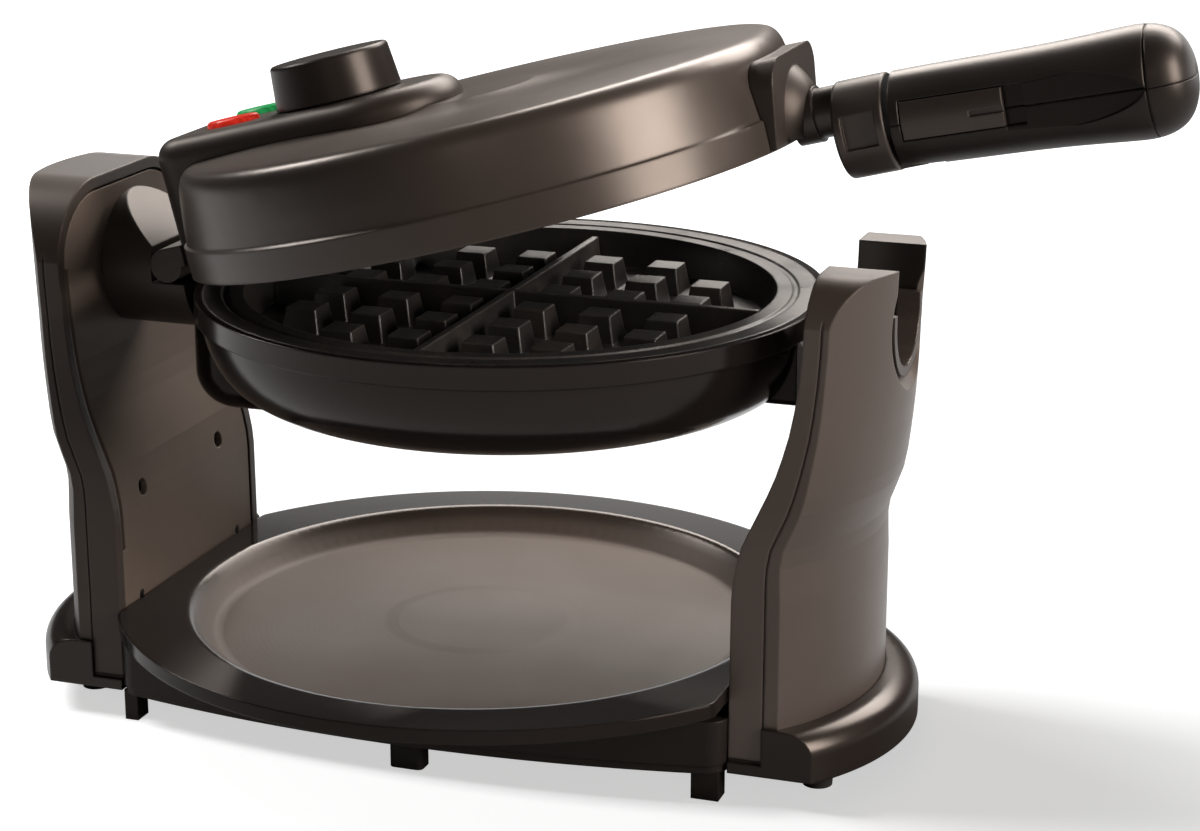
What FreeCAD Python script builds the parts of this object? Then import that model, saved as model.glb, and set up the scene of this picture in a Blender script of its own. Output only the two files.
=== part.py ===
import FreeCAD, Part
import math
import os
from FreeCAD import Vector as V

os.makedirs("parts", exist_ok=True)

# ---- driving dimensions, millimetres; tray centre is x = 0, floor is z = 0 ----
SHIFT_X = -38.0020      # moves the tray-centred model to the middle of its length
AXIS_Z = 155.0          # flip axis height
PART_Z = 155.0          # parting plane between pan and lid
HEAD_X = 12.0           # centre of the round cooking head
HEAD_R = 108.0          # outer radius of the rims
HINGE_X, HINGE_Z = -106.0, 158.0
LID_REST = 14.4         # lid opening at rest, degrees
LEFT_IN, RIGHT_IN = 115.0, 107.5   # inner faces of the posts at the foot
LEFT_TOP, RIGHT_TOP = 186.0, 174.5
FOOT_BOW = 20.5         # outward bow of the foot flanges, as the posts at the foot
PANEL_T = 3.0
WALL = 2.6
POST_FOOT = 15.0
# height, outward lean, edge thickness, half width, outward bow of the outer face
POST = [(8.0, 0.0, 16.5, 55.0, 20.5), (45.0, 0.0, 16.5, 55.0, 20.5), (70.0, 0.2, 16.3, 55.0, 20.5),
        (86.0, 2.6, 14.0, 54.6, 20.4), (98.0, 7.6, 13.8, 53.6, 19.8), (112.0, 13.4, 11.2, 51.8, 19.0),
        (130.0, 18.0, 9.2, 49.8, 18.0), (150.0, 20.4, 8.2, 48.6, 17.5), (170.0, 21.2, 8.2, 48.5, 17.5),
        (194.0, 21.6, 8.6, 48.5, 17.5)]
TOP_ROUND = {-1: 30.0, 1: 18.0}   # left and right post
NOTCH_R = 16.6
BARREL_R = 16.0
BARREL_X0, BARREL_X1 = 135.0, 152.0
FOLD_X, FOLD_DZ = 160.0, -10.0
TRAY_TOP = 39.5
TRAY_FLOOR_BOTTOM = 29.0
TRAY_ARC_R, TRAY_ARC_OFF = 134.5, 12.5
DISH_R, DISH_FLOOR_R = 105.0, 92.0
BRIDGE_TOP = 28.7
BASE_BOTTOM = 10.2
PLATE_TOP = 13.0
BASE_BOW = 12.0         # outward bow of the base between the posts
HUB_R = 24.0
SHAFT_R = 9.0
PLATE_R, CAVITY_R = 102.5, 91.0
KNOB_X, KNOB_R0, KNOB_R1, KNOB_H = -38.0, 22.0, 20.6, 15.0
PAD_TOP = 200.0
PAD_W = 30.0
PAD_X0, PAD_X1 = -101.0, 5.0
HUB_X0 = -132.6


def box(x0, x1, y0, y1, z0, z1):
    return Part.makeBox(x1 - x0, y1 - y0, z1 - z0, V(x0, y0, z0))


def cx(r, x0, x1, y, z):
    return Part.makeCylinder(r, x1 - x0, V(x0, y, z), V(1, 0, 0))


def cy(r, y0, y1, x, z):
    return Part.makeCylinder(r, y1 - y0, V(x, y0, z), V(0, 1, 0))


def cz(r, z0, z1, x, y):
    return Part.makeCylinder(r, z1 - z0, V(x, y, z0), V(0, 0, 1))


def edges_along(s, d, test=None):
    out = []
    for e in s.Edges:
        if e.Curve.TypeId == "Part::GeomLine":
            t = e.tangentAt(e.FirstParameter)
            if abs(abs(t.dot(d)) - 1) < 1e-6 and (test is None or test(e.CenterOfMass)):
                out.append(e)
    return out


def rounded(s, r, d, test=None):
    return s.makeFillet(r, edges_along(s, d, test))


def one(s):
    s = s.removeSplitter()
    if s.ShapeType != "Solid" and len(s.Solids) == 1:
        s = s.Solids[0]
    return s


def largest(s):
    return max(s.Solids, key=lambda q: q.Volume)


OUT = {}


def keep(name, s):
    OUT[name] = one(s)


# ---------------------------------------------------------------- posts
def along_post(z):
    """Lean, edge thickness, half width and bow at a height, by monotone cubic steps."""
    zs = [q[0] for q in POST]
    i = max(0, min(len(zs) - 2, sum(1 for q in zs if q <= z) - 1))
    res = []
    for c in (1, 2, 3, 4):
        v = [q[c] for q in POST]
        d = [(v[k + 1] - v[k]) / (zs[k + 1] - zs[k]) for k in range(len(v) - 1)]
        m = []
        for k in (i, i + 1):
            if k == 0 or k == len(v) - 1 or d[k - 1] * d[k] <= 0:
                m.append(0.0)
            else:
                m.append(2 * d[k - 1] * d[k] / (d[k - 1] + d[k]))
        h = zs[i + 1] - zs[i]
        t = (z - zs[i]) / h
        res.append((2 * t ** 3 - 3 * t ** 2 + 1) * v[i] + (t ** 3 - 2 * t ** 2 + t) * h * m[0]
                   + (3 * t ** 2 - 2 * t ** 3) * v[i + 1] + (t ** 3 - t ** 2) * h * m[1])
    return res


LEVELS = [8, 45, 70, 76, 82, 88, 94, 100, 106, 112, 118, 125, 133, 142, 152, 170, 194]


def post_loft(sg, x0, d_in, d_out, d_w, flat_t=None, bow=True, edge=0):
    wires = []
    for z in LEVELS:
        lean, t, hw, bulge = along_post(float(z))
        xi = sg * (x0 + lean + d_in)
        xo = sg * (x0 + lean + (t - d_out if flat_t is None else flat_t))
        w = hw - d_w
        if edge:
            # narrow groove in the front (-1) or rear (+1) edge face
            xa, xb = sg * (x0 + lean + t * 0.68), sg * (x0 + lean + t * 0.68 + 0.7)
            ya, yb = edge * (hw + 2.0), edge * (hw - 0.8)
            p = [V(xa, ya, z), V(xb, ya, z), V(xb, yb, z), V(xa, yb, z)]
            wires.append(Part.makePolygon(p + [p[0]]))
            continue
        a, b, c, d = V(xi, -w, z), V(xo, -w, z), V(xo, w, z), V(xi, w, z)
        if bow:
            m = V(xo + sg * bulge, 0, z)
            e = [Part.makeLine(a, b), Part.Arc(b, m, c).toShape(), Part.makeLine(c, d), Part.makeLine(d, a)]
            wires.append(Part.Wire(e))
        else:
            wires.append(Part.makePolygon([a, b, c, d, a]))
    return Part.makeLoft(wires, True, True)


def top_clip(sg, z_bot, z_top, inset):
    w = 48.5 - inset
    low = box(-220, 220, -70, 70, z_bot, 156)
    up = rounded(box(-220, 220, -w - 0.5, w + 0.5, 155, z_top), TOP_ROUND[sg] - inset, V(1, 0, 0),
                 lambda c: c.z > z_top - 1)
    return low.fuse(up).removeSplitter()


def make_post(sg, x0, z_top):
    full = post_loft(sg, x0, 0, 0, 0).common(top_clip(sg, POST_FOOT, z_top, 0))
    opening = post_loft(sg, x0, -1.0, 0, 4.0, flat_t=PANEL_T, bow=False).common(
        top_clip(sg, POST_FOOT - 2, z_top - 4.0, 4.0))
    cavity = post_loft(sg, x0, PANEL_T - 0.5, WALL, 4.6).common(
        top_clip(sg, POST_FOOT - 2, z_top - 4.6, 4.6))
    cover = full.cut(opening).cut(cavity)
    panel = post_loft(sg, x0, 0.4, 0, 5.0, flat_t=PANEL_T, bow=False).common(
        top_clip(sg, POST_FOOT, z_top - 5.0, 5.0))
    # fastening posts inside the cover meet the panel's screws
    for y in (-38.0, 38.0):
        xa, xb = sorted((sg * (x0 + PANEL_T), sg * (x0 + 24.2)))
        cover = cover.fuse(cx(4.2, xa, xb, y, 40.0))
    # parting line along the front and rear edges of the cover
    for e in (-1, 1):
        cover = cover.cut(post_loft(sg, x0, 0, 0, 0, edge=e))
    return full, cover, panel, cavity


full_r, cover_r, panel_r, cav_r = make_post(1, RIGHT_IN, RIGHT_TOP)
full_l, cover_l, panel_l, cav_l = make_post(-1, LEFT_IN, LEFT_TOP)


def notch(r, x0, x1):
    return cx(r, x0, x1, 0, AXIS_Z).fuse(box(x0, x1, -r, r, AXIS_Z, 230))


# cradle notch between two horns, a saddle in its bottom, flared at the outer face
LINER_T = 3.4
SADDLE_Z = AXIS_Z + 4.0
NR = NOTCH_R + LINER_T
notch_wall = full_r.common(notch(NR + WALL, 100, 200)).cut(notch(NR, 100, 200))
cover_r = cover_r.cut(notch(NR, 100, 200)).fuse(notch_wall)
panel_r = panel_r.cut(notch(NR + WALL + 0.1, 100, 200))
liner = full_r.common(notch(NR, 100, 200)).cut(notch(NOTCH_R, 100, 200))
liner = largest(liner.common(box(100, 151.0, -40, 40, 100, SADDLE_Z)))
liner = largest(liner.cut(notch(NOTCH_R + 2.2, 139.0, 143.0)))   # groove round the middle of the saddle
cover_r = cover_r.cut(Part.makeCone(NR, NR + 4.5, 4.5, V(148.5, 0, AXIS_Z), V(1, 0, 0)))
keep("cradle_liner", liner)
cover_r = largest(cover_r)
panel_r = largest(panel_r)

# pivot hole in the left panel, two round vent holes
PANEL_X = -(LEFT_IN + 20.7)
panel_l = panel_l.cut(cx(SHAFT_R + 5.0, -160, -120, 0, AXIS_Z))
wires = []
for z in (60, 70, 76, 82, 88, 94, 100, 106, 112, 118, 125, 133, 142, 152, 158):
    lean, t, hw, bulge = along_post(float(z))
    xa, xb, ya, yb = -(LEFT_IN + lean - 1.0), -(LEFT_IN + lean + 1.9), -(hw - 4.9), -(hw - 7.2)
    q = [V(xa, ya, z), V(xb, ya, z), V(xb, yb, z), V(xa, yb, z)]
    wires.append(Part.makePolygon(q + [q[0]]))
panel_l = panel_l.cut(Part.makeLoft(wires, True, True))
for y, z in ((27.6, 78.5), (-31.7, 78.0)):
    panel_l = panel_l.cut(cx(3.0, -125, -105, y, z))
    panel_r = panel_r.cut(cx(3.0, 100, 120, y, z))
for y in (-38.0, 38.0):
    panel_l = panel_l.cut(cx(1.7, -125, -105, y, 40.0))
    cover_l = cover_l.cut(cx(1.45, -128, -105, y, 40.0))
    panel_r = panel_r.cut(cx(1.7, 100, 118, y, 40.0))
    cover_r = cover_r.cut(cx(1.45, 100, 120, y, 40.0))
CORD_Z = 34.0
cover_l = cover_l.cut(cy(5.0, 40, 60, -123.2, CORD_Z))
keep("left_post_cover", largest(cover_l))
keep("left_post_panel", largest(panel_l))
keep("right_post_cover", cover_r)
keep("right_post_panel", panel_r)


# ---------------------------------------------------------------- feet, bridge, hardware
def d_plan(sg, x0, x_edge, half, z0, z1):
    a, b, c, d = V(sg * x0, -half, z0), V(sg * x_edge, -half, z0), V(sg * x_edge, half, z0), V(sg * x0, half, z0)
    m = V(sg * (x_edge + FOOT_BOW), 0, z0)
    w = Part.Wire([Part.makeLine(a, b), Part.Arc(b, m, c).toShape(), Part.makeLine(c, d), Part.makeLine(d, a)])
    return Part.Face(w).extrude(V(0, 0, z1 - z0))


def foot(sg, x0):
    f = d_plan(sg, x0, x0 + 28.5, 56.5, BASE_BOTTOM, 27.0)
    arcs = [e for e in f.Edges if e.CenterOfMass.z > 26.9 and e.Curve.TypeId == "Part::GeomCircle"]
    f = f.makeFillet(8.0, arcs)
    pocket = d_plan(sg, x0 - 5.0, x0 + 16.7, 55.2, POST_FOOT, 40.0)
    f = f.cut(pocket)
    # the post's edge bands stay bare down to the base
    xa, xb = sorted((sg * (x0 - 6.0), sg * (x0 + 11.4)))
    for e in (-1, 1):
        ya, yb = sorted((e * 55.2, e * 60.0))
        f = f.cut(box(xa, xb, ya, yb, POST_FOOT - 1.0, 40.0))
    return f


left_foot = foot(-1, LEFT_IN)
right_foot = foot(1, RIGHT_IN)
FEET = [(-139.0, -32.0), (-139.0, 32.0), (132.0, -32.0), (132.0, 32.0)]
pads = []
for x, y in FEET:
    sg = 1 if x > 0 else -1
    p = Part.makeCone(5.0, 5.8, BASE_BOTTOM, V(x, y, 0), V(0, 0, 1))
    p = p.fuse(cz(2.2, BASE_BOTTOM, BASE_BOTTOM + 4.0, x, y))
    pads.append(one(p))
    h = cz(2.2, BASE_BOTTOM - 1, BASE_BOTTOM + 4.0, x, y)
    if sg > 0:
        right_foot = right_foot.cut(h)
    else:
        left_foot = left_foot.cut(h)
keep("left_foot_flange", largest(left_foot))
keep("right_foot_flange", largest(right_foot))

BX0, BX1, BY = -LEFT_IN + 0.05, RIGHT_IN - 0.05, 59.0


def base_plan(inset, z0, z1):
    x0, x1, y = BX0 + inset, BX1 - inset, BY - inset
    xm, ym = (BX0 + BX1) / 2, BY + BASE_BOW - inset
    a, b, c, d = V(x0, -y, z0), V(x1, -y, z0), V(x1, y, z0), V(x0, y, z0)
    w = Part.Wire([Part.Arc(a, V(xm, -ym, z0), b).toShape(), Part.makeLine(b, c),
                   Part.Arc(c, V(xm, ym, z0), d).toShape(), Part.makeLine(d, a)])
    return Part.Face(w).extrude(V(0, 0, z1 - z0))


bridge = rounded(base_plan(0, PLATE_TOP, BRIDGE_TOP), 8.0, V(0, 0, 1))
bridge = bridge.cut(base_plan(3.0, 5.0, BRIDGE_TOP - 3))
base_screw_xy = [(x, y) for x in (-98.0, 90.0) for y in (-46.0, 46.0)]
for x, y in base_screw_xy:
    bridge = bridge.fuse(cz(4.5, PLATE_TOP, BRIDGE_TOP - 2, x, y)).cut(cz(1.45, 8.0, 24.0, x, y))
keep("base_bridge", bridge)
plate = rounded(base_plan(0.6, BASE_BOTTOM, PLATE_TOP), 7.4, V(0, 0, 1))
for x0, x1 in ((-113.5, -108.5), (95.5, 105.0)):
    for sg in (-1, 1):
        y0, y1 = sorted((sg * 57.6, sg * 50.0))
        plate = plate.fuse(box(x0, x1, y0, y1, 0.0, BASE_BOTTOM + 1))
for x, y in base_screw_xy:
    plate = plate.cut(cz(1.8, 8.0, 14.0, x, y)).cut(cz(3.4, 8.0, 11.6, x, y))
keep("base_bottom_plate", plate)
for y in (-62.0, 62.0):
    pads.append(rounded(box(-9.0, 3.0, y - 4.0, y + 4.0, 0.0, BASE_BOTTOM), 2.0, V(0, 0, 1)))
OUT["rubber_feet"] = Part.makeCompound(pads)
screws = []
for x, y in base_screw_xy:
    screws.append(one(cz(3.2, BASE_BOTTOM + 0.2, 11.6, x, y).fuse(cz(1.45, 11.6, 23.0, x, y)).cut(
        box(x - 2.2, x + 2.2, y - 0.4, y + 0.4, 10.0, 11.0))))
OUT["base_screws"] = Part.makeCompound(screws)
screws = []
for sg, x0 in ((-1, LEFT_IN), (1, RIGHT_IN)):
    for y in (-38.0, 38.0):
        a, b = sorted((sg * (x0 + 0.4), sg * (x0 + 2.0)))
        c, d = sorted((sg * (x0 + 2.0), sg * (x0 + 12.0)))
        s = cx(1.65, a, b, y, 40.0).fuse(cx(1.4, c, d, y, 40.0))
        screws.append(one(s))
OUT["post_screws"] = Part.makeCompound(screws)
gland = cy(4.95, 51.0, 58.0, -123.2, CORD_Z).fuse(cy(6.8, 55.2, 58.5, -123.2, CORD_Z)).fuse(
    cy(4.2, 58.5, 66.0, -123.2, CORD_Z)).cut(cy(2.6, 40, 70, -123.2, CORD_Z))
keep("cord_gland", gland)

# bush in the left panel carries the pivot shaft
bush = cx(SHAFT_R + 4.9, -145.0, -135.4, 0, AXIS_Z).fuse(cx(19.0, -142.6, -139.6, 0, AXIS_Z)).cut(
    cx(SHAFT_R + 0.06, -150, -130, 0, AXIS_Z))
keep("pivot_bush", bush)


# ---------------------------------------------------------------- drip tray
def tray_plan(inset, z0, z1):
    r = TRAY_ARC_R - inset
    a = cz(r, z0, z1, 0, TRAY_ARC_OFF).common(cz(r, z0, z1, 0, -TRAY_ARC_OFF))
    a = a.common(box(-LEFT_IN + 0.8 + inset, RIGHT_IN - 0.8 - inset, -200, 200, z0, z1))
    return rounded(a, max(6.0 - inset, 1.0), V(0, 0, 1))


T = 2.2
t_plate = tray_plan(0, TRAY_TOP - T, TRAY_TOP).cut(cz(DISH_R + 1.5, 0, 60, 0, 0))
skirt = tray_plan(0, TRAY_TOP - 5.0, TRAY_TOP - T + 0.2).cut(tray_plan(1.8, 0, 60))
fb = TRAY_FLOOR_BOTTOM
dish_wire = [
    Part.makeLine(V(DISH_R + 1.5, 0, TRAY_TOP - T), V(DISH_R + 1.5, 0, TRAY_TOP)),
    Part.makeLine(V(DISH_R + 1.5, 0, TRAY_TOP), V(DISH_R, 0, TRAY_TOP)),
]
oc = Part.BSplineCurve()
oc.interpolate([V(DISH_R, 0, TRAY_TOP), V(DISH_R - 3.4, 0, TRAY_TOP - 1.7), V(DISH_FLOOR_R + 4.6, 0, fb + T + 1.7),
                V(DISH_FLOOR_R, 0, fb + T)], Tangents=[V(-1, 0, 0), V(-1, 0, -1.1), V(-1, 0, -1.1), V(-1, 0, 0)],
               TangentFlags=[True, True, True, True])
ic = Part.BSplineCurve()
ic.interpolate([V(DISH_R + 1.5, 0, TRAY_TOP - T), V(DISH_R - 2.0, 0, TRAY_TOP - T - 1.7),
                V(DISH_FLOOR_R + 6.0, 0, fb + 1.7), V(DISH_FLOOR_R + 1.2, 0, fb)],
               Tangents=[V(-1, 0, 0), V(-1, 0, -1.1), V(-1, 0, -1.1), V(-1, 0, 0)], TangentFlags=[True, True, True, True])
dish_wire += [oc.toShape(), Part.makeLine(V(DISH_FLOOR_R, 0, fb + T), V(0, 0, fb + T)),
              Part.makeLine(V(0, 0, fb + T), V(0, 0, fb)),
              Part.makeLine(V(0, 0, fb), V(DISH_FLOOR_R + 1.2, 0, fb)), ic.toShape()]
dish = Part.Face(Part.Wire(Part.__sortEdges__(dish_wire))).revolve(V(0, 0, 0), V(0, 0, 1), 360)
centre_disc = Part.makeCone(35.0, 30.0, 0.25, V(0, 0, fb + T - 0.01), V(0, 0, 1))
tray = t_plate.fuse(skirt).fuse(dish).fuse(centre_disc)
keep("drip_tray", tray)


# ---------------------------------------------------------------- head, lower half
def rev(segs, x):
    """Revolve a closed outline; segs are ("l", pts) or ("s", pts) with (radius, height)."""
    es = []
    for kind, pts in segs:
        p = [V(x + r, 0, z) for r, z in pts]
        if kind == "l":
            es += [Part.makeLine(a, b) for a, b in zip(p, p[1:])]
        else:
            c = Part.BSplineCurve()
            c.interpolate(p)
            es.append(c.toShape())
    return Part.Face(Part.Wire(Part.__sortEdges__(es))).revolve(V(x, 0, 0), V(0, 0, 1), 360)


PAN_OUT = [(105.8, 146.4), (104.0, 137.5), (99.0, 128.2), (90.0, 121.4), (76.0, 117.6), (60.0, 116.5)]
PAN_IN = [(103.2, 146.4), (101.4, 138.3), (96.7, 130.0), (88.6, 123.9), (75.4, 120.2), (60.0, 119.1)]
pan_full = rev([("l", [(0, 154.6), (HEAD_R, 154.6), (HEAD_R, 147.2), (105.8, 146.4)]), ("s", PAN_OUT),
                ("l", [(60.0, 116.5), (0, 116.5), (0, 154.6)])], HEAD_X)
pan = rev([("l", [(103.2, 146.4), (105.4, 148.0), (105.4, 154.6), (HEAD_R, 154.6), (HEAD_R, 147.2), (105.8, 146.4)]),
           ("s", PAN_OUT), ("l", [(60.0, 116.5), (0, 116.5), (0, 119.1), (60.0, 119.1)]),
           ("s", PAN_IN[::-1])], HEAD_X)
# ledge posts under the grid plate
PLATE_SCREW = [(HEAD_X + 98.6 * math.cos(a), 98.6 * math.sin(a)) for a in (math.pi / 4, 3 * math.pi / 4,
                                                                          5 * math.pi / 4, 7 * math.pi / 4)]
for x, y in PLATE_SCREW:
    pan = pan.fuse(cz(3.6, 126.0, 150.9, x, y).common(pan_full)).cut(cz(1.45, 134.0, 152.0, x, y))
keep("lower_shell", largest(pan))


def pad_plan(inset, z0, z1, r=12.0):
    w = PAD_W - inset
    b = box(PAD_X0 + inset, PAD_X1 - PAD_W, -w, w, z0, z1)
    b = rounded(b, r - inset, V(0, 0, 1), lambda c: c.x < PAD_X0 + 10)
    return b.fuse(cz(w, z0, z1, PAD_X1 - PAD_W, 0)).removeSplitter()


def top_edges(s, z):
    return [e for e in s.Edges if abs(e.BoundBox.ZMax - z) < 1e-4 and abs(e.BoundBox.ZMin - z) < 1e-4]


SPINE_Z = 106.5
spine = pad_plan(0, SPINE_Z, 151.0, 17.0)
spine = spine.makeFillet(14.0, top_edges(spine, SPINE_Z))
hollow = pad_plan(2.6, SPINE_Z + 2.6, 148.4, 17.0)
spine = spine.cut(hollow.makeFillet(11.4, top_edges(hollow, SPINE_Z + 2.6)))
spine = largest(spine.cut(pan_full))
keep("lower_hinge_housing", spine)

# hub: round barrel at the left post, sloped on top so the lid can swing, with the hinge knuckle
hub = cx(HUB_R, HUB_X0, PAD_X0 - 0.02, 0, AXIS_Z)
slope = Part.Face(Part.makePolygon([V(-132.6, -60, 180.0), V(-113.4, -60, 163.4), V(-113.4, -60, 150.8),
                                    V(-90.0, -60, 150.8), V(-90.0, -60, 230.0), V(-132.6, -60, 230.0),
                                    V(-132.6, -60, 180.0)])).extrude(V(0, 120, 0))
hub = hub.cut(slope)
KNUCKLE = 10.8
hub = hub.fuse(cy(6.0, -KNUCKLE, KNUCKLE, HINGE_X, HINGE_Z)).fuse(
    box(-113.4, -103.2, -KNUCKLE, KNUCKLE, 146.0, 157.0))
hub = hub.fuse(cx(SHAFT_R, -152.0, HUB_X0 + 1, 0, AXIS_Z))
hub = hub.cut(cx(4.0, -160.0, -108.0, 0, AXIS_Z))       # wire passage
hub = hub.cut(cy(2.55, -40, 40, HINGE_X, HINGE_Z))
keep("pivot_hub", hub)
collar = cx(13.0, -149.5, -146.0, 0, AXIS_Z).cut(cx(SHAFT_R, -160, -140, 0, AXIS_Z))
keep("pivot_collar", collar)

# front boss under the rim
boss = rounded(box(98.0, 117.5, -15.0, 15.0, 124.5, 147.5), 3.0, V(1, 0, 0)).cut(pan_full)
keep("lower_front_boss", largest(boss))

# grid plates: flat rim, round cavity in quarters, tapered studs
def grid_plate():
    """Lower plate; the upper one is its mirror image in the parting plane."""
    p = rev([("l", [(0, 139.0), (93.6, 139.0), (94.4, 151.0), (105.2, 151.0), (105.2, 154.6), (98.6, 154.6),
                    (98.2, 153.9), (96.6, 153.9), (96.2, 154.6), (CAVITY_R, 154.6), (CAVITY_R - 2.2, 141.6),
                    (0, 141.6), (0, 139.0)])], HEAD_X)
    bump = []
    for i in (13.0, 36.5, 60.0):
        for j in (13.0, 36.5, 60.0):
            if i == 60.0 and j == 60.0:
                continue
            for sx in (-1, 1):
                for sy in (-1, 1):
                    x, y = HEAD_X + sx * i, sy * j
                    w = Part.makeWedge(-7.0, 0, -7.0, -5.4, -5.4, 7.0, 9.6, 7.0, 5.4, 5.4)
                    w.rotate(V(0, 0, 0), V(1, 0, 0), 90)
                    w.translate(V(x, y, 141.5))
                    bump.append(w)
    for d in (V(1, 0, 0), V(0, 1, 0)):
        w = Part.makeWedge(-88.0, 0, -2.4, -1.2, -88.0, 88.0, 11.2, 2.4, 1.2, 88.0)
        w.rotate(V(0, 0, 0), V(1, 0, 0), 90)
        if abs(d.y) > 0.5:
            w.rotate(V(0, 0, 0), V(0, 0, 1), 90)
        w.translate(V(HEAD_X, 0, 141.5))
        bump.append(w)
    p = p.fuse(bump)
    for x, y in PLATE_SCREW:
        p = p.cut(cz(1.7, 148.0, 153.3, x, y))
    return one(p)


lower_plate = grid_plate()
keep("lower_grid_plate", lower_plate)


def element(z, up):
    t = Part.makeTorus(60.0, 3.2, V(HEAD_X, 0, z), V(0, 0, 1), 0, 360, 330)
    t.rotate(V(HEAD_X, 0, z), V(0, 0, 1), 195)
    for a in (195.0, 165.0):
        x, y = HEAD_X + 60.0 * math.cos(math.radians(a)), 60.0 * math.sin(math.radians(a))
        t = t.fuse(Part.makeSphere(3.2, V(x, y, z)))
        z0, z1 = sorted((z, z + up * 7.0))
        t = t.fuse(cz(2.2, z0, z1, x, y))
    return t


keep("lower_heating_element", element(135.6, -1))
keep("lower_reflector", cz(78.0, 125.0, 125.8, HEAD_X, 0).fuse(cz(6.0, 119.1, 125.4, HEAD_X, 0)))
OUT["lower_plate_screws"] = Part.makeCompound(
    [one(cz(1.65, 151.0, 153.2, x, y).fuse(cz(1.4, 138.0, 151.0, x, y))) for x, y in PLATE_SCREW])
keep("hinge_pin", cy(2.5, -25.4, 25.4, HINGE_X, HINGE_Z))

# ---------------------------------------------------------------- lid, drawn shut
LID = {}
W_OUT = [(107.0, 166.8), (106.2, 174.5), (105.1, 182.5), (103.9, 187.2), (101.8, 189.9), (97.0, 191.0), (60.0, 191.9),
         (20.0, 192.4)]
W_IN = [(104.4, 166.8), (103.6, 174.2), (102.5, 181.9), (101.2, 185.8), (99.4, 187.6), (95.0, 188.5), (60.0, 189.3),
        (20.0, 189.8)]
lid_full = rev([("l", [(0, 155.6), (HEAD_R, 155.6), (HEAD_R, 166.0), (107.0, 166.8)]), ("s", W_OUT),
                ("l", [(20.0, 192.4), (0, 192.4), (0, 155.6)])], HEAD_X)
lid = rev([("l", [(104.4, 166.8), (105.4, 165.6), (105.4, 155.6), (HEAD_R, 155.6), (HEAD_R, 166.0), (107.0, 166.8)]),
           ("s", W_OUT), ("l", [(20.0, 192.4), (0, 192.4), (0, 189.8), (20.0, 189.8)]), ("s", W_IN[::-1])], HEAD_X)
lid = lid.cut(cz(3.4, 180, 200, KNOB_X, 0))
for x, y in PLATE_SCREW:
    lid = lid.fuse(cz(3.6, 159.5, 184.0, x, y).common(lid_full)).cut(cz(1.45, 156.0, 176.0, x, y))
LID["upper_shell"] = largest(lid)

pad = pad_plan(0, 156.6, PAD_TOP)
pad = pad.makeFillet(7.0, top_edges(pad, PAD_TOP))
pad = pad.cut(pad_plan(2.6, 159.4, PAD_TOP - 2.8))
pad = pad.cut(lid_full)
pad = largest(pad)
EAR0, EAR1 = KNUCKLE + 0.5, 27.0
for sg in (-1, 1):
    y0, y1 = sorted((sg * EAR0, sg * EAR1))
    ear = cy(6.0, y0, y1, HINGE_X, HINGE_Z).fuse(box(HINGE_X, PAD_X0 + 2.6, y0, y1, 156.6, 164.0))
    pad = pad.fuse(ear)
pad = pad.cut(cy(7.0, -EAR0, EAR0, HINGE_X, HINGE_Z)).cut(cy(2.5, -25.5, 25.5, HINGE_X, HINGE_Z))
pad = pad.cut(lid_full)


def lens(y, z0, z1, grow):
    e = Part.Ellipse(V(-74.0, y, z0), 10.0 + grow, 5.6 + grow)
    return Part.Face(Part.Wire([e.toShape()])).extrude(V(0, 0, z1 - z0))


LENS_Y = 11.5
pad = pad.cut(cz(3.4, 190, 210, KNOB_X, 0))
for nm, y in (("red_lamp_lens", -LENS_Y), ("green_lamp_lens", LENS_Y)):
    pad = pad.cut(lens(y, 193, 210, 0))
    l = lens(y, PAD_TOP - 2.4, PAD_TOP + 2.2, 0)
    l = l.makeFillet(1.7, top_edges(l, PAD_TOP + 2.2))
    LID[nm] = one(l)
LID["control_housing"] = largest(pad)
board = box(-88.0, -60.0, -19.0, 19.0, 192.6, 194.2)
for y in (-LENS_Y, LENS_Y):
    board = board.fuse(cz(2.4, 194.2, 197.0, -74.0, y))
LID["lamp_board"] = one(board)
LID["thermostat"] = one(cz(12.0, 176.0, 187.0, KNOB_X, 0).fuse(cz(3.0, 187.0, 211.0, KNOB_X, 0)).fuse(
    box(KNOB_X - 18, KNOB_X + 18, -6, 6, 178.0, 180.0)))

up_plate = lower_plate.mirror(V(0, 0, PART_Z), V(0, 0, 1))
up_plate.translate(V(0, 0, 0.4))
LID["upper_grid_plate"] = one(up_plate)
LID["upper_heating_element"] = one(element(174.8, 1))
LID["upper_reflector"] = one(cz(78.0, 184.0, 184.8, HEAD_X, 0).cut(cz(20.0, 180, 190, KNOB_X, 0)).fuse(
    cz(6.0, 184.4, 189.8, HEAD_X, 0)))
LID["upper_plate_screws"] = Part.makeCompound(
    [one(cz(1.65, 157.2, 159.4, x, y).fuse(cz(1.4, 159.4, 172.0, x, y))) for x, y in PLATE_SCREW])

# handle root: boss on the lid's front, off-centre stem, round barrel that lies in the cradle
STEM_Z = AXIS_Z + 7.0
lboss = Part.Face(Part.makePolygon([V(92.0, -26, 156.2), V(119.2, -26, 156.2), V(123.6, -26, 184.5), V(92.0, -26, 184.5),
                                    V(92.0, -26, 156.2)])).extrude(V(0, 52, 0))
lboss = rounded(lboss, 9.0, V(1, 0, 0), lambda c: c.z > 180)
dome = Part.makeSphere(18.4, V(109.6, 0, 166.2)).common(box(100, 140, -30, 30, 156.2, 190))
lboss = lboss.fuse(dome).cut(cx(9.45, 119.0, 140.0, 0, STEM_Z))
LID["lid_front_boss"] = one(largest(lboss.cut(lid_full)))
stem = cx(8.2, 120.3, BARREL_X0 + 1, 0, STEM_Z).fuse(cx(9.3, 120.3, 128.0, 0, STEM_Z))
barrel = cx(BARREL_R, BARREL_X0, BARREL_X1, 0, AXIS_Z)
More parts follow.
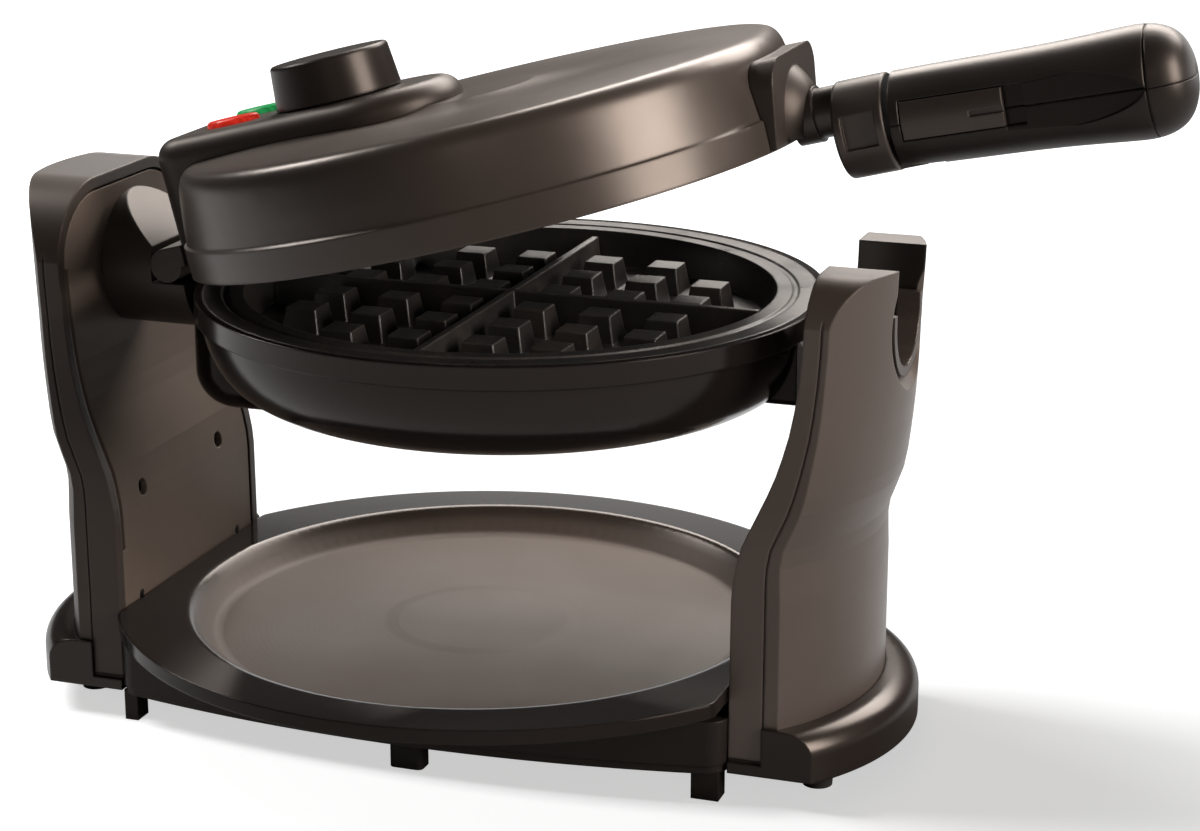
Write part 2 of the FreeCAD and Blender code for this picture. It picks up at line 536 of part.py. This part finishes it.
barrel = barrel.makeFillet(1.0, [e for e in barrel.Edges if e.Curve.TypeId == "Part::GeomCircle"])
FX, FZ = FOLD_X, AXIS_Z + FOLD_DZ
lug = box(BARREL_X1 - 3, FX, -4.8, 4.8, FZ - 5.2, FZ + 5.2).fuse(cy(5.2, -4.8, 4.8, FX, FZ))
barrel = barrel.fuse(stem).fuse(lug).cut(cy(2.0, -30, 30, FX, FZ))
for sg in (-1, 1):
    y0, y1 = sorted((sg * 13.6, sg * 20.0))
    barrel = barrel.cut(box(BARREL_X0 + 3.0, BARREL_X1 - 3.0, y0, y1, AXIS_Z - 5.0, AXIS_Z + 6.0))
LID["handle_barrel"] = one(barrel)
LID["fold_pin"] = one(cy(2.0, -9.5, 9.5, FX, FZ))

# knob
knob = Part.makeCone(KNOB_R0, KNOB_R1, KNOB_H, V(KNOB_X, 0, PAD_TOP + 0.6), V(0, 0, 1))
knob = knob.makeFillet(1.4, [e for e in knob.Edges if e.BoundBox.ZMin > PAD_TOP + KNOB_H])
knob = knob.cut(cz(3.06, 190, 211.5, KNOB_X, 0)).cut(cz(17.8, PAD_TOP, PAD_TOP + 9.0, KNOB_X, 0).cut(
    cz(7.0, PAD_TOP, PAD_TOP + 9.0, KNOB_X, 0)))
knob = knob.cut(box(KNOB_X - 19.6, KNOB_X - 9.0, -0.7, 0.7, PAD_TOP + KNOB_H, PAD_TOP + KNOB_H + 2))
LID["browning_knob"] = one(knob)

# grip: two halves, finger hollows, lock slider on the front side
gp = [(153.2, 15.6), (165.0, 15.9), (185.0, 16.2), (208.0, 16.8), (227.0, 17.9), (236.5, 17.6), (243.7, 14.2),
      (247.3, 8.0), (248.0, 0.0)]
c = Part.BSplineCurve()
c.interpolate([V(x, 0, AXIS_Z + r) for x, r in gp])
f = Part.Face(Part.Wire([c.toShape(), Part.makeLine(V(248.0, 0, AXIS_Z), V(153.2, 0, AXIS_Z)),
                         Part.makeLine(V(153.2, 0, AXIS_Z), V(153.2, 0, AXIS_Z + 15.6))]))
grip = f.revolve(V(0, 0, AXIS_Z), V(1, 0, 0), 360)
grip = grip.cut(box(150.0, FX + 6.6, -5.2, 5.2, FZ - 20.0, FZ + 6.6))
grip = grip.cut(box(140.0, FX, -30, 30, FZ - 30.0, FZ).cut(cy(7.4, -30, 30, FX, FZ)))
grip = grip.cut(cy(2.05, -9.9, 9.9, FX, FZ))
SLIDE_X0, SLIDE_X1, SLIDE_TRAVEL = 157.0, 190.0, 6.0
slider = grip.common(box(SLIDE_X0, SLIDE_X1, -20.0, -12.9, AXIS_Z - 5.2, AXIS_Z + 7.0))
grip = grip.cut(box(SLIDE_X0 - 0.5, SLIDE_X1 + SLIDE_TRAVEL + 0.5, -24.0, -12.5, AXIS_Z - 5.6, AXIS_Z + 7.4))
# one leaf-shaped finger hollow on each side, from the slider's pocket to the end cap
leaf = [(190.0, 7.4), (204.0, 8.4), (216.0, 8.0), (226.0, 5.8), (232.5, 2.6), (234.8, 0.0)]
hi = Part.BSplineCurve()
hi.interpolate([V(x, 0, AXIS_Z + h) for x, h in leaf])
lo = Part.BSplineCurve()
lo.interpolate([V(x, 0, AXIS_Z - h) for x, h in leaf])
lf = Part.Face(Part.Wire(Part.__sortEdges__([hi.toShape(), lo.toShape(), Part.makeLine(V(190.0, 0, AXIS_Z - 7.4),
                                                                                      V(190.0, 0, AXIS_Z + 7.4))])))
for y in (-24.0, 14.7):
    q = lf.copy()
    q.translate(V(0, y, 0))
    grip = grip.cut(q.extrude(V(0, 9.3, 0)))
grip = grip.cut(cx(30.0, 234.6, 235.3, 0, AXIS_Z).cut(cx(17.1, 234.6, 235.3, 0, AXIS_Z)))
grip_up = grip.common(box(140, 260, -40, 40, AXIS_Z + 0.15, AXIS_Z + 40))
grip_lo = grip.common(box(140, 260, -40, 40, AXIS_Z - 40, AXIS_Z - 0.15))
GRIP = {}
for x in (192.0, 223.0):
    grip_lo = grip_lo.cut(cz(1.7, 120, 160, x, 0)).cut(cz(3.0, 120, AXIS_Z - 9.0, x, 0))
    grip_up = grip_up.cut(cz(1.4, 150, AXIS_Z + 9.0, x, 0))
GRIP["grip_upper"] = largest(grip_up)
GRIP["grip_lower"] = largest(grip_lo)
GRIP["grip_screws"] = Part.makeCompound(
    [one(cz(2.9, AXIS_Z - 11.0, AXIS_Z - 9.0, x, 0).fuse(cz(1.35, AXIS_Z - 9.0, AXIS_Z + 8.0, x, 0)))
     for x in (192.0, 223.0)])
slider = slider.cut(box(SLIDE_X1 - 11.0, SLIDE_X1 + 1.0, -20.0, -14.9, AXIS_Z - 0.6, AXIS_Z + 1.2))
GRIP["lock_slider"] = largest(slider)
DROOP = 2.6
for n, s in GRIP.items():
    s.rotate(V(FX, 0, FZ), V(0, 1, 0), DROOP)
    LID[n] = s

# everything on the lid turns to its rest opening
for n, s in LID.items():
    s.rotate(V(HINGE_X, 0, HINGE_Z), V(0, 1, 0), -LID_REST)
    OUT[n] = s

for n, s in OUT.items():
    s.translate(V(SHIFT_X, 0, 0))
    s.exportStep("parts/%s.step" % n)
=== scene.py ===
import math

import bmesh
import bpy
from mathutils import Matrix, Vector


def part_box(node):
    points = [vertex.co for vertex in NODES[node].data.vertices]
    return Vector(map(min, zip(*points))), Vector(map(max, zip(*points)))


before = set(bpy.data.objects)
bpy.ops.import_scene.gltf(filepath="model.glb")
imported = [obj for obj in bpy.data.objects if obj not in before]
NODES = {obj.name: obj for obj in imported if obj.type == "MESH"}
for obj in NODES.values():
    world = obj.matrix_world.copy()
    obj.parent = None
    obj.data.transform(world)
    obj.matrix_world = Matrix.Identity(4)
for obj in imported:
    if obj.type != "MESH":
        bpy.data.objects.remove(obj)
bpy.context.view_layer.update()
scene = bpy.context.scene

# ------------------------------------------------------------------ camera
# the tray's centre line gives the shift of the whole model along x
_lo, _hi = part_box("drip_tray")
SHIFT = (_lo[0] + _hi[0]) / 2 + 0.00375
cam_data = bpy.data.cameras.new("view_camera")
cam_data.sensor_fit = "HORIZONTAL"
cam_data.sensor_width = 36.0
cam_data.lens = 83.43
cam_data.clip_end = 60.0
cam = bpy.data.objects.new("view_camera", cam_data)
scene.collection.objects.link(cam)
right = Vector((0.9456, 0.3252, 0.0)).normalized()
back = Vector((0.3121, -0.9075, 0.2810)).normalized()
up = back.cross(right).normalized()
right = up.cross(back).normalized()
m = Matrix((right, up, back)).transposed().to_4x4()
m.translation = Vector((0.3424 + SHIFT, -0.8674, 0.3794))
cam.matrix_world = m
scene.camera = cam

# ------------------------------------------------------------------ light
scene.view_settings.view_transform = "Standard"
scene.view_settings.look = "None"
scene.view_settings.exposure = 0.0
world = bpy.data.worlds.new("studio")
world.use_nodes = True
bg = world.node_tree.nodes["Background"]
bg.inputs["Color"].default_value = (1.0, 0.93, 0.87, 1)
bg.inputs["Strength"].default_value = 0.05
scene.world = world


def area(name, loc, target, sx, sy, watts, colour=(1, 1, 1)):
    d = bpy.data.lights.new(name, "AREA")
    d.shape = "RECTANGLE"
    d.size, d.size_y = sx, sy
    d.energy = watts
    d.color = colour
    o = bpy.data.objects.new(name, d)
    o.location = loc
    o.rotation_euler = (Vector(target) - Vector(loc)).to_track_quat("-Z", "Y").to_euler()
    scene.collection.objects.link(o)
    return o


WARM = (1.0, 0.93, 0.87)
back_box = area("back_box", (0.20, 1.95, 1.75), (0.0, 0.0, 0.12), 2.8, 1.2, 122, WARM)
key_left = area("key_left", (-1.35, 0.35, 1.25), (0.05, 0.0, 0.1), 0.5, 0.5, 17, (1.0, 0.96, 0.93))
floor_key = area("floor_key", (-1.60, -0.10, 1.75), (0.05, 0.0, 0.0), 0.8, 0.8, 34)
floor_soft = area("floor_soft", (-1.10, 0.30, 1.90), (0.05, 0.0, 0.0), 0.8, 0.8, 18)
right_box = area("right_box", (1.7, -0.35, 0.85), (0.0, 0.0, 0.12), 0.9, 1.1, 62, WARM)
area("front_fill", (0.5, -2.2, 1.2), (0.0, 0.0, 0.12), 1.0, 0.8, 2.0, WARM)


# ------------------------------------------------------------------ material helpers
class Tree:
    """Small wrapper that adds nodes and links in one line."""

    def __init__(self, name):
        self.mat = bpy.data.materials.new(name)
        self.mat.use_nodes = True
        self.nt = self.mat.node_tree
        self.p = self.nt.nodes["Principled BSDF"]

    def node(self, kind, ins=None, **props):
        n = self.nt.nodes.new(kind)
        for k, v in props.items():
            setattr(n, k, v)
        for k, v in (ins or {}).items():
            if isinstance(v, bpy.types.NodeSocket):
                self.nt.links.new(v, n.inputs[k])
            else:
                n.inputs[k].default_value = v
        return n

    def link(self, a, key):
        self.nt.links.new(a, self.p.inputs[key])

    def coords(self):
        return self.node("ShaderNodeTexCoord").outputs["Object"]

    def noise(self, scale, detail=4.0, rough=0.55, stretch=None):
        v = self.coords()
        if stretch:
            v = self.node("ShaderNodeMapping", {"Vector": v, "Scale": stretch}).outputs["Vector"]
        return self.node("ShaderNodeTexNoise", {"Vector": v, "Scale": scale, "Detail": detail, "Roughness": rough}).outputs["Fac"]

    def ramp(self, fac, stops):
        n = self.node("ShaderNodeValToRGB", {"Fac": fac})
        e = n.color_ramp.elements
        while len(e) < len(stops):
            e.new(0.5)
        for k, (pos, col) in zip(e, stops):
            k.position = pos
            k.color = (*col, 1.0) if len(col) == 3 else col
        return n.outputs["Color"]

    def span(self, fac, lo, hi, a=0.3, b=0.7):
        return self.node("ShaderNodeMapRange", {"Value": fac, "From Min": a, "From Max": b, "To Min": lo, "To Max": hi}).outputs["Result"]

    def mix(self, fac, a, b):
        n = self.node("ShaderNodeMix", data_type="RGBA")
        for idx, v in ((0, fac), (6, a), (7, b)):
            if isinstance(v, bpy.types.NodeSocket):
                self.nt.links.new(v, n.inputs[idx])
            else:
                n.inputs[idx].default_value = v
        return n.outputs[2]

    def edges(self, radius):
        """1 along rounded-over edges, 0 on flats, and the eased normal."""
        bev = self.node("ShaderNodeBevel", {"Radius": radius}, samples=4)
        geo = self.node("ShaderNodeNewGeometry")
        dot = self.node("ShaderNodeVectorMath", operation="DOT_PRODUCT")
        self.nt.links.new(bev.outputs["Normal"], dot.inputs[0])
        self.nt.links.new(geo.outputs["Normal"], dot.inputs[1])
        fac = self.node("ShaderNodeMapRange", {"Value": dot.outputs["Value"], "From Min": 0.995, "From Max": 0.80,
                                               "To Min": 0.0, "To Max": 1.0}).outputs["Result"]
        return fac, bev.outputs["Normal"]


def lighter(c, k):
    return tuple(min(1.0, x * k) for x in c)


def plastic(name, base, rough, grain=0.0, grain_scale=2600.0, edge=0.0006, edge_wear_and_highlight=1.7, coat=0.0, mottling=0.12, spec=0.3):
    """Moulded plastic: slight colour drift, flow marks in the gloss, fine grain, and eased edges painted paler (partly
    rubbed wear, partly a painted edge highlight).
    """
    t = Tree(name)
    drift = t.noise(14.0, 5.0, 0.6)
    col = t.ramp(drift, [(0.30, lighter(base, 1.0 - mottling)), (0.70, lighter(base, 1.0 + mottling))])
    # Painted highlight: rounded-over edges are painted paler in the base colour, partly as rubbed wear and partly as a
    # painted edge highlight.
    fac, eased = t.edges(edge)
    soft = t.noise(90.0, 3.0, 0.5)
    fac = t.node("ShaderNodeMath", {0: fac, 1: t.span(soft, 0.35, 1.0)}, operation="MULTIPLY").outputs[0]
    col = t.mix(fac, col, (*lighter(base, edge_wear_and_highlight), 1.0))
    t.link(col, "Base Color")
    smear = t.noise(7.0, 6.0, 0.62, stretch=(1.0, 1.0, 2.2))
    t.link(t.span(smear, rough * 0.86, rough * 1.16), "Roughness")
    t.p.inputs["Specular IOR Level"].default_value = spec
    t.p.inputs["Specular Tint"].default_value = (1.0, 0.86, 0.77, 1.0)
    t.p.inputs["Coat Weight"].default_value = coat
    t.p.inputs["Coat Roughness"].default_value = 0.08
    h = t.noise(grain_scale, 2.0, 0.5)
    ripple = t.noise(34.0, 2.0, 0.4)
    b1 = t.node("ShaderNodeBump", {"Strength": 0.035, "Distance": 0.0006, "Height": ripple, "Normal": eased})
    b2 = t.node("ShaderNodeBump", {"Strength": max(grain, 0.01), "Distance": 0.00012, "Height": h,
                                   "Normal": b1.outputs["Normal"]})
    t.link(b2.outputs["Normal"], "Normal")
    return t


def metal(name, base, rough, scale=900.0, stretch=(1, 1, 14), tint=None, edge=0.0003):
    """Worked metal: drawn lines, cloudy tint and eased edges."""
    t = Tree(name)
    lines = t.noise(scale, 3.0, 0.6, stretch=stretch)
    cloud = t.noise(38.0, 4.0, 0.6)
    col = t.ramp(cloud, [(0.3, lighter(base, 0.82)), (0.7, tint or lighter(base, 1.1))])
    t.link(col, "Base Color")
    t.p.inputs["Metallic"].default_value = 1.0
    t.link(t.span(lines, rough * 0.75, rough * 1.3), "Roughness")
    fac, eased = t.edges(edge)
    b = t.node("ShaderNodeBump", {"Strength": 0.12, "Distance": 0.0001, "Height": lines, "Normal": eased})
    t.link(b.outputs["Normal"], "Normal")
    return t


BROWN = (0.0055, 0.0042, 0.0037)
MATS = {}
MATS["head"] = plastic("gloss_head_plastic", BROWN, 0.17, grain=0.012, edge=0.0009, spec=0.15)
MATS["lid"] = plastic("satin_lid_plastic", (0.0280, 0.0218, 0.0185), 0.31, grain=0.05, edge=0.0012, spec=0.52)
MATS["pad"] = plastic("satin_housing_plastic", (0.0200, 0.0153, 0.0130), 0.42, grain=0.06, edge=0.0010, spec=0.32)
MATS["post"] = plastic("satin_post_plastic", (0.0330, 0.0250, 0.0208), 0.41, grain=0.08, edge=0.0010, spec=0.32)
MATS["panel"] = plastic("grained_panel_plastic", (0.1150, 0.0890, 0.0730), 0.50, grain=0.22, edge=0.0007, spec=0.35)
MATS["saddle"] = plastic("gloss_saddle_plastic", (0.032, 0.0255, 0.0220), 0.26, grain=0.04, edge=0.0008, edge_wear_and_highlight=1.8, spec=0.45)
MATS["foot"] = plastic("gloss_foot_plastic", (0.0100, 0.0076, 0.0065), 0.24, grain=0.02, edge=0.0012, spec=0.36)
MATS["base"] = plastic("dark_base_plastic", (0.0075, 0.0058, 0.0050), 0.40, grain=0.12, edge=0.0008, spec=0.2)
MATS["grip"] = plastic("satin_grip_plastic", (0.0110, 0.0086, 0.0076), 0.34, grain=0.06, edge=0.0008, spec=0.32)
MATS["knob"] = plastic("gloss_knob_plastic", (0.0110, 0.0085, 0.0075), 0.32, grain=0.04, edge=0.0012, spec=0.25)


def shaded_hollow_mask(t, low, high):
    """1 where a face looks straight along y and lies nearer to the middle than the moulded skin; marks the hollow walls
    that get painted shade.
    """
    geo = t.node("ShaderNodeNewGeometry")
    n = t.node("ShaderNodeSeparateXYZ", {0: geo.outputs["True Normal"]}).outputs["Y"]
    n = t.node("ShaderNodeMath", {0: n}, operation="ABSOLUTE").outputs[0]
    y = t.node("ShaderNodeSeparateXYZ", {0: t.coords()}).outputs["Y"]
    y = t.node("ShaderNodeMath", {0: y}, operation="ABSOLUTE").outputs[0]
    a = t.node("ShaderNodeMapRange", {"Value": n, "From Min": 0.994, "From Max": 0.999}).outputs["Result"]
    b = t.node("ShaderNodeMapRange", {"Value": y, "From Min": high, "From Max": low}).outputs["Result"]
    return t.node("ShaderNodeMath", {0: a, 1: b}, operation="MULTIPLY").outputs[0]


# Painted shade: mixes a darker base colour (and a lower roughness) in where the mask is 1.
def paint_hollow_shade(t, mask, colour, rough):
    old = {l.to_socket.name: l.from_socket for l in t.nt.links if l.to_node == t.p}
    t.link(t.mix(mask, old["Base Color"], (*colour, 1.0)), "Base Color")
    t.link(t.node("ShaderNodeMix", {0: mask, 2: old["Roughness"], 3: rough}, data_type="FLOAT").outputs[0], "Roughness")


# Painted shade: the inner walls of the grip's hollow and the post's notch are painted darker where shade falls; the
# lower roughness there is a real surface property.
paint_hollow_shade(MATS["grip"], shaded_hollow_mask(MATS["grip"], 0.01476, 0.01490), (0.0022, 0.0018, 0.0016), 0.22)
paint_hollow_shade(MATS["post"], shaded_hollow_mask(MATS["post"], 0.0204, 0.0212), (0.0055, 0.0043, 0.0038), 0.30)
MATS["block"] = plastic("satin_block_plastic", (0.0160, 0.0123, 0.0105), 0.40, grain=0.08, edge=0.0008, spec=0.30)
MATS["board"] = plastic("board_laminate", (0.02, 0.11, 0.05), 0.45, grain=0.1)


def tray_material():
    """Matt moulded dish with faint turning rings, inside a darker smooth rim."""
    t = plastic("satin_tray_plastic", (0.0080, 0.0061, 0.0052), 0.11, grain=0.05, grain_scale=1900.0, edge=0.0010, edge_wear_and_highlight=1.8,
                spec=0.16)
    v = t.node("ShaderNodeMapping", {"Vector": t.coords(), "Location": (-SHIFT, 0.0, 0.0)}).outputs["Vector"]
    flat = t.node("ShaderNodeVectorMath", {0: v, 1: (1.0, 1.0, 0.0)}, operation="MULTIPLY").outputs[0]
    radius = t.node("ShaderNodeVectorMath", {0: flat}, operation="LENGTH").outputs["Value"]
    dish = t.node("ShaderNodeMapRange", {"Value": radius, "From Min": 0.1045, "From Max": 0.0990, "To Min": 0.0,
                                         "To Max": 1.0}).outputs["Result"]
    old = {l.to_socket.name: l.from_socket for l in t.nt.links if l.to_node == t.p}
    scuff = t.noise(26.0, 6.0, 0.65)
    pale = t.ramp(scuff, [(0.3, (0.050, 0.0370, 0.0298)), (0.7, (0.061, 0.0455, 0.0370))])
    t.link(t.mix(dish, old["Base Color"], pale), "Base Color")
    matt = t.span(scuff, 0.46, 0.54)
    r = t.node("ShaderNodeMix", {0: dish, 2: old["Roughness"], 3: matt}, data_type="FLOAT").outputs[0]
    t.link(r, "Roughness")
    rings = t.node("ShaderNodeTexWave", {"Vector": flat, "Scale": 150.0, "Distortion": 0.5, "Detail": 2.0},
                   wave_type="RINGS", rings_direction="SPHERICAL")
    h = t.node("ShaderNodeMath", {0: rings.outputs["Fac"], 1: dish}, operation="MULTIPLY").outputs[0]
    b = t.node("ShaderNodeBump", {"Strength": 0.03, "Distance": 0.0002, "Height": h, "Normal": old["Normal"]})
    t.link(b.outputs["Normal"], "Normal")
    return t


MATS["tray"] = tray_material()


def rubber(name, base):
    t = plastic(name, base, 0.75, grain=0.35, grain_scale=1400.0, edge=0.0005, edge_wear_and_highlight=1.4)
    return t


MATS["rubber"] = rubber("black_rubber", (0.010, 0.0098, 0.0095))


def coating(name):
    """Cast plate with a dark speckled non-stick coat, rubbed paler on the stud tops and rim."""
    t = Tree(name)
    speck = t.node("ShaderNodeTexVoronoi", {"Vector": t.coords(), "Scale": 1500.0}, feature="F1").outputs["Distance"]
    col = t.ramp(speck, [(0.06, (0.075, 0.07, 0.066)), (0.16, (0.0135, 0.0122, 0.0115)), (0.9, (0.0105, 0.0096, 0.0092))])
    fac, eased = t.edges(0.0011)
    stain = t.noise(46.0, 5.0, 0.65)
    col = t.mix(t.span(stain, 0.0, 0.55, 0.5, 0.75), col, (0.030, 0.019, 0.012, 1))
    rub = t.node("ShaderNodeMath", {0: fac, 1: t.span(t.noise(160.0), 0.2, 0.8)}, operation="MULTIPLY").outputs[0]
    col = t.mix(rub, col, (0.075, 0.066, 0.058, 1))
    t.link(col, "Base Color")
    t.link(t.span(stain, 0.26, 0.44), "Roughness")
    t.p.inputs["Specular IOR Level"].default_value = 0.55
    cast = t.noise(420.0, 4.0, 0.6)
    b = t.node("ShaderNodeBump", {"Strength": 0.14, "Distance": 0.0003, "Height": cast, "Normal": eased})
    t.link(b.outputs["Normal"], "Normal")
    return t


MATS["plate"] = coating("nonstick_cast_plate")
MATS["screw"] = metal("plated_screw_steel", (0.36, 0.35, 0.34), 0.34)
MATS["dark_screw"] = metal("blackened_screw_steel", (0.050, 0.046, 0.043), 0.40)
MATS["pin"] = metal("ground_pin_steel", (0.55, 0.55, 0.55), 0.24, stretch=(1, 10, 1))
MATS["brass"] = metal("turned_brass", (0.62, 0.46, 0.20), 0.28, tint=(0.70, 0.52, 0.25))
MATS["element"] = metal("heat_tinted_steel", (0.22, 0.19, 0.17), 0.42, tint=(0.30, 0.21, 0.14))
MATS["reflector"] = metal("rolled_reflector_sheet", (0.72, 0.72, 0.72), 0.30, stretch=(14, 1, 1))


def lens_material(name, base, glow):
    """Ribbed tinted lens lit faintly from below."""
    t = Tree(name)
    v = t.coords()
    ribs = t.node("ShaderNodeTexWave", {"Vector": v, "Scale": 330.0, "Distortion": 0.0}, wave_type="BANDS",
                  bands_direction="Y").outputs["Fac"]
    cloud = t.noise(120.0, 3.0)
    col = t.ramp(cloud, [(0.3, lighter(base, 0.75)), (0.7, lighter(base, 1.2))])
    t.link(col, "Base Color")
    t.link(t.span(cloud, 0.24, 0.34), "Roughness")
    t.p.inputs["Specular IOR Level"].default_value = 0.12
    t.link(t.ramp(ribs, [(0.0, lighter(glow, 0.6)), (1.0, glow)]), "Emission Color")
    t.p.inputs["Emission Strength"].default_value = 0.8
    fac, eased = t.edges(0.0005)
    b = t.node("ShaderNodeBump", {"Strength": 0.3, "Distance": 0.0002, "Height": ribs, "Normal": eased})
    t.link(b.outputs["Normal"], "Normal")
    return t


MATS["red"] = lens_material("red_lens", (0.42, 0.022, 0.012), (0.55, 0.02, 0.01))
MATS["green"] = lens_material("green_lens", (0.015, 0.20, 0.06), (0.02, 0.30, 0.08))

USE = {
    "post": "left_post_cover right_post_cover",
    "panel": "left_post_panel right_post_panel",
    "saddle": "cradle_liner",
    "foot": "left_foot_flange right_foot_flange",
    "base": "base_bridge base_bottom_plate",
    "tray": "drip_tray",
    "rubber": "rubber_feet cord_gland",
    "dark_screw": "post_screws",
    "screw": "base_screws lower_plate_screws upper_plate_screws grip_screws",
    "pin": "fold_pin hinge_pin pivot_collar thermostat",
    "brass": "pivot_bush",
    "head": "lower_shell lower_hinge_housing lower_front_boss",
    "lid": "upper_shell",
    "pad": "control_housing lid_front_boss pivot_hub",
    "grip": "grip_upper grip_lower",
    "block": "handle_barrel lock_slider",
    "knob": "browning_knob",
    "plate": "lower_grid_plate upper_grid_plate",
    "element": "lower_heating_element upper_heating_element",
    "reflector": "lower_reflector upper_reflector",
    "red": "red_lamp_lens",
    "green": "green_lamp_lens",
    "board": "lamp_board",
}
for key, names in USE.items():
    for n in names.split():
        o = NODES[n]
        o.data.materials.clear()
        o.data.materials.append(MATS[key].mat)

# ------------------------------------------------------------------ floor and backdrop
t = Tree("pale_floor")
t.link(t.ramp(t.noise(3.0, 3.0), [(0.3, (0.80, 0.80, 0.80)), (0.7, (0.84, 0.84, 0.84))]), "Base Color")
t.p.inputs["Roughness"].default_value = 0.9
t.p.inputs["Specular IOR Level"].default_value = 0.1
t.p.inputs["Emission Color"].default_value = (1, 1, 1, 1)
away = t.node("ShaderNodeVectorMath", {0: t.coords()}, operation="LENGTH").outputs["Value"]
t.link(t.node("ShaderNodeMapRange", {"Value": away, "From Min": 0.45, "From Max": 1.1, "To Min": 0.58,
                                     "To Max": 1.02}).outputs["Result"], "Emission Strength")
bm = bmesh.new()
bmesh.ops.create_grid(bm, x_segments=8, y_segments=8, size=5.0)
me = bpy.data.meshes.new("floor")
bm.to_mesh(me)
bm.free()
floor = bpy.data.objects.new("floor", me)
floor.location = (0, 0, -0.0003)
me.materials.append(t.mat)
scene.collection.objects.link(floor)
t2 = Tree("graded_backdrop")
t2.link(t2.ramp(t2.noise(2.0, 2.0), [(0.3, (0.040, 0.039, 0.038)), (0.7, (0.050, 0.049, 0.048))]), "Base Color")
t2.p.inputs["Roughness"].default_value = 1.0
t2.p.inputs["Emission Color"].default_value = (1, 1, 1, 1)
height = t2.node("ShaderNodeSeparateXYZ", {0: t2.coords()}).outputs["Y"]
t2.link(t2.node("ShaderNodeMapRange", {"Value": height, "From Min": -0.74, "From Max": -0.94, "To Min": 0.05,
                                       "To Max": 1.4}).outputs["Result"], "Emission Strength")
bm = bmesh.new()
bmesh.ops.create_grid(bm, x_segments=8, y_segments=8, size=5.0)
me = bpy.data.meshes.new("backdrop")
bm.to_mesh(me)
bm.free()
backdrop = bpy.data.objects.new("backdrop", me)
backdrop.location = (0, 3.2, 2.0)
backdrop.rotation_euler = (math.radians(90), 0, 0)
me.materials.append(t2.mat)
scene.collection.objects.link(backdrop)
for lamp in (back_box, right_box, key_left):
    skip = bpy.data.collections.new("not_lit_by_" + lamp.name)
    skip.objects.link(floor)
    skip.collection_objects[0].light_linking.link_state = "EXCLUDE"
    lamp.light_linking.receiver_collection = skip
only = bpy.data.collections.new("lit_by_floor_key")
only.objects.link(floor)
floor_key.light_linking.receiver_collection = only
floor_soft.light_linking.receiver_collection = only
casts = bpy.data.collections.new("shades_floor_key")
for n in "right_post_cover right_post_panel right_foot_flange left_foot_flange base_bridge rubber_feet grip_upper grip_lower".split():
    casts.objects.link(NODES[n])
floor_key.light_linking.blocker_collection = casts
glow = bpy.data.collections.new("lit_by_floor_glow")
glow.objects.link(floor)
glow.objects.link(backdrop)
for n in "right_post_cover right_post_panel lower_shell handle_barrel lock_slider".split():
    glow.objects.link(NODES[n])
floor.light_linking.receiver_collection = glow
rear = bpy.data.collections.new("lit_by_backdrop_glow")
rear.objects.link(backdrop)
for n in "drip_tray left_post_cover right_post_cover grip_upper grip_lower".split():
    rear.objects.link(NODES[n])
backdrop.light_linking.receiver_collection = rear
